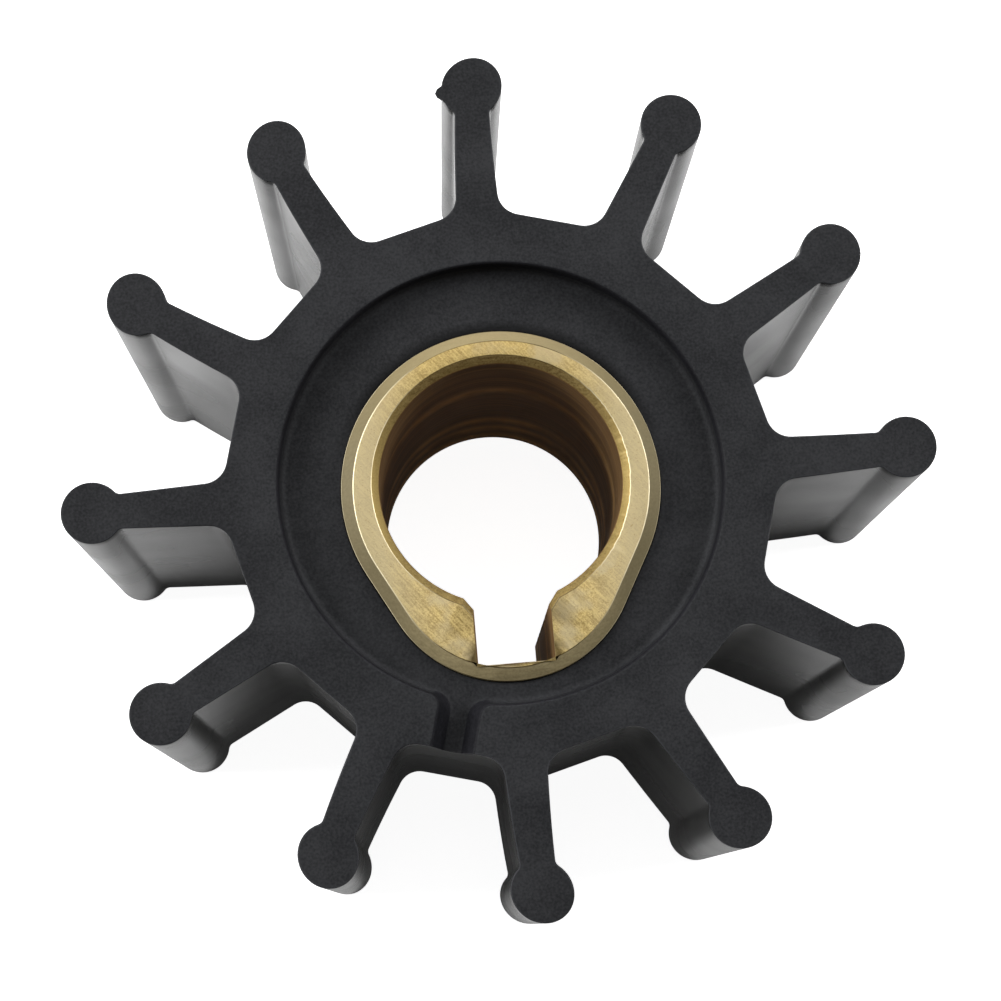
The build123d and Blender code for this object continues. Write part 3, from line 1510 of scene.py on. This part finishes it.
@dataclass(frozen=True)
class Studio:
    """Floor, light and camera.

    Attributes:
        eye: Place of the camera in millimetres.
        aim: The point that it looks at.
        roll_deg: How far it is rolled to the right.
        lens: Focal length in millimetres.
        film: Width of the film in millimetres.
        floor_half: Half the floor's side in millimetres.
        floor_drop: How far the floor lies below the object, so that they don't touch.
        sky: Strength of the light from all round.
        card: How much light the floor's white card gives back.
        glow_seen: Light added to the card where it is looked at, or looked at through glass.
        glow_mirrored: Light added to the card where it shows in polished surfaces.
        lamps: The softboxes.
    """

    eye: Triple = (-6.12, -28.10, 208.42)
    aim: Triple = (-0.15, -1.29, 31.75)
    roll_deg: float = 4.91
    lens: float = 99.16
    film: float = 36.0
    floor_half: float = 3000.0
    floor_drop: float = 0.02
    sky: float = 0.09
    card: float = 0.85
    glow_seen: float = 0.93
    glow_mirrored: float = 0.02
    lamps: tuple[Lamp, ...] = (
        Lamp("top_softbox", (0.0, 170.0, 470.0), (500.0, 320.0), 0.85),
        Lamp("left_softbox", (-420.0, 120.0, 260.0), (250.0, 250.0), 2.6),
        Lamp("right_softbox", (420.0, 120.0, 260.0), (250.0, 250.0), 1.7),
        Lamp("back_softbox", (0.0, 440.0, 250.0), (300.0, 200.0), 1.3),
    )

    def camera(self) -> None:
        """Places the camera."""
        data = bpy.data.cameras.new("camera")
        data.lens = self.lens
        data.sensor_width = self.film
        data.clip_start, data.clip_end = 0.01, 20.0
        made = placed("camera", data)
        eye = Vector(self.eye) * MM
        back = (eye - Vector(self.aim) * MM).normalized()
        side = Vector((0.0, 1.0, 0.0)).cross(back).normalized()
        upright = Matrix((side, back.cross(side), back)).transposed()
        turn = upright @ Matrix.Rotation(-math.radians(self.roll_deg), 3, "Z")
        made.matrix_world = Matrix.Translation(eye) @ turn.to_4x4()
        bpy.context.scene.camera = made

    def floor(self) -> None:
        """Lays the floor, which isn't part of the object."""
        half = self.floor_half
        corners = ((-half, -half), (half, -half), (half, half), (-half, half))
        skin = Skin()
        skin.cap(skin.ring(np.array([(x, y, -self.floor_drop) for x, y in corners])))
        made = skin.piece("floor")
        made.data.materials.append(self.floor_material())

    def floor_material(self) -> bpy.types.Material:
        """White card that the camera, metal and glass see at full white.

        Returns:
            The material.
        """
        recipe = Recipe("floor card")
        rays = recipe.node("ShaderNodeLightPath").outputs
        seen = recipe.math("MULTIPLY", rays["Is Camera Ray"], self.glow_seen)
        through = recipe.math("MULTIPLY", rays["Is Transmission Ray"], self.glow_seen)
        mirrored = recipe.math("MULTIPLY", rays["Is Glossy Ray"], self.glow_mirrored)
        most = recipe.math("MAXIMUM", recipe.math("MAXIMUM", seen, through), mirrored)
        card = recipe.node("ShaderNodeBsdfDiffuse")
        recipe.give(card.inputs["Color"], (self.card, self.card, self.card))
        glow = recipe.node("ShaderNodeEmission")
        recipe.give(glow.inputs["Strength"], most)
        both = recipe.node("ShaderNodeAddShader")
        recipe.give(both.inputs[0], card.outputs["BSDF"])
        recipe.give(both.inputs[1], glow.outputs["Emission"])
        output = recipe.tree.nodes["Material Output"]
        recipe.give(output.inputs["Surface"], both.outputs["Shader"])
        recipe.tree.nodes.remove(recipe.shader)
        return recipe.material

    def world(self) -> None:
        """Lights the object evenly from all round."""
        world = bpy.data.worlds.new("studio")
        bpy.context.scene.world = world
        world.use_nodes = True
        sky = world.node_tree.nodes["Background"]
        sky.inputs["Color"].default_value = (1.0, 1.0, 1.0, 1.0)
        sky.inputs["Strength"].default_value = self.sky

    def build(self) -> None:
        """Sets the whole studio up."""
        self.camera()
        self.floor()
        self.world()
        for lamp in self.lamps:
            lamp.hang()
        bpy.context.scene.view_settings.view_transform = "Standard"


# --- the impeller ---


def rubber_body(low: Vector, high: Vector, insert: InsertPlan) -> RubberBody:
    """Plans the rubber body, and chooses its finishes.

    Args:
        low: Low corner of its node's box in millimetres.
        high: High corner of that box.
        insert: Plan of the insert that it holds.

    Returns:
        The body, still to be built.
    """
    vanes = VanePlan(tip_r=high.x)
    core = RecessCore(
        channel_deg=-90.0 - math.degrees(vanes.pitch) / 2.0,
        run_out_r=vanes.rim_r + 1.0,
    )
    face = RubberFinish(
        name="ground rubber",
        dark=(0.0102, 0.0106, 0.0118),
        light=(0.0255, 0.026, 0.028),
        bloom=(0.045, 0.046, 0.05),
        roughness=(0.58, 0.7),
        grain=0.17,
        depth=0.012,
        # painted shade on the ground rubber beside the insert's round part
        insert_shade=InsertShade(centre_y=-insert.shift, radius=insert.round_r),
    )
    side = RubberFinish(
        name="moulded rubber",
        dark=(0.010, 0.010, 0.010),
        light=(0.024, 0.024, 0.023),
        bloom=(0.05, 0.05, 0.05),
        roughness=(0.20, 0.31),
        grain=0.6,
        depth=0.006,
        specular=0.5,
        dull=(vanes.rim_r + 0.5, vanes.rim_r + 4.0),
    )
    # a darker copy of the rubber: painted shade on the recess walls and channel flanks
    wall = RubberFinish(
        name="recess wall rubber with painted shade",
        dark=(0.006, 0.006, 0.0075),
        light=(0.014, 0.014, 0.017),
        bloom=(0.02, 0.02, 0.022),
        roughness=(0.6, 0.7),
        grain=0.2,
        depth=0.008,
    )
    return RubberBody(
        vanes=vanes,
        core=core,
        insert=insert,
        width=high.z - low.z,
        face=face,
        side=side,
        wall=wall,
    )


def bore_insert(low: Vector, high: Vector, plan: InsertPlan) -> BoreInsert:
    """Plans the brass insert, and chooses its finishes.

    Args:
        low: Low corner of its node's box in millimetres.
        high: High corner of that box.
        plan: Plan of its outside.

    Returns:
        The insert, still to be built.
    """
    # each brass finish paints light and shade: a flank colour (a painted sheen on the face, painted
    # shade on bevels and chamfers), shade at the crown, and edge highlights and shade
    ground = BrassFinish(
        name="ground brass",
        dark=(0.31, 0.22, 0.08),
        light=(0.60, 0.46, 0.19),
        flank_light_and_patch_tone=(0.47, 0.395, 0.24),
        edge_highlight=(0.85, 0.76, 0.52),
        painted_shade=(0.08, 0.055, 0.02),
        roughness=(0.42, 0.58),
        marks=0.12,
        depth=0.008,
        metal=0.9,
        contrast=1.0,
        crown=0.25,
        lay=50.0,
    )
    turned_edge = BrassFinish(
        name="turned brass",
        dark=(0.24, 0.19, 0.095),
        light=(0.52, 0.43, 0.235),
        flank_light_and_patch_tone=(0.115, 0.095, 0.048),
        edge_highlight=(0.80, 0.70, 0.46),
        painted_shade=(0.05, 0.035, 0.012),
        roughness=(0.5, 0.56),
        marks=0.2,
        depth=0.003,
        metal=0.05,
        contrast=0.2,
        crown=0.75,
        flank=(3.0, 7.5),
    )
    bore_edge = BrassFinish(
        name="chamfered brass",
        dark=(0.16, 0.10, 0.03),
        light=(0.44, 0.33, 0.13),
        flank_light_and_patch_tone=(0.31, 0.225, 0.075),
        edge_highlight=(0.66, 0.52, 0.24),
        painted_shade=(0.16, 0.10, 0.04),
        roughness=(0.5, 0.62),
        marks=0.16,
        depth=0.01,
        metal=0.7,
        contrast=0.6,
        crown=0.0,
    )
    # bore: dark colour is painted shade inside the bore, light stripes are painted reflections of
    # its rings
    bore = BoreFinish(
        name="stained bore",
        dark=(0.20, 0.115, 0.05),
        light=(0.62, 0.38, 0.15),
        bands=(4.2, 7.4, 10.6, 21.8),
        band_width=1.7,
    )
    return BoreInsert(
        plan=plan,
        back=low.z,
        front=high.z,
        ground=ground,
        turned_edge=turned_edge,
        bore_edge=bore_edge,
        bore=bore,
    )


def settle(piece: Piece, node: Node) -> None:
    """Lets a piece stand for its CAD node, and reports it.

    Args:
        piece: The piece.
        node: The node that it stands for.
    """
    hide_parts(node.value)
    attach(piece, "root")
    LOG.info("%s stands for %s, with %d faces", piece.name, node.value, len(piece.data.polygons))


def main() -> None:
    """Builds and dresses the impeller, then the studio round it."""
    logging.basicConfig(level=logging.INFO, format="%(name)s: %(message)s")
    body_low, body_high = (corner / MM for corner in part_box(Node.BODY.value))
    insert_low, insert_high = (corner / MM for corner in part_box(Node.INSERT.value))
    plan = InsertPlan(
        round_r=insert_high.x,
        shift=insert_high.x - insert_high.y,
        nose_tip=-insert_low.y,
    )
    body = rubber_body(body_low, body_high, plan)
    insert = bore_insert(insert_low, insert_high, plan)
    for maker, node, slot in ((body, Node.BODY, Slot.RUBBER), (insert, Node.INSERT, Slot.BRASS)):
        piece = maker.build()
        maker.dress(piece)
        settle(piece, node)
    Studio().build()


if __name__ == "__main__":
    main()
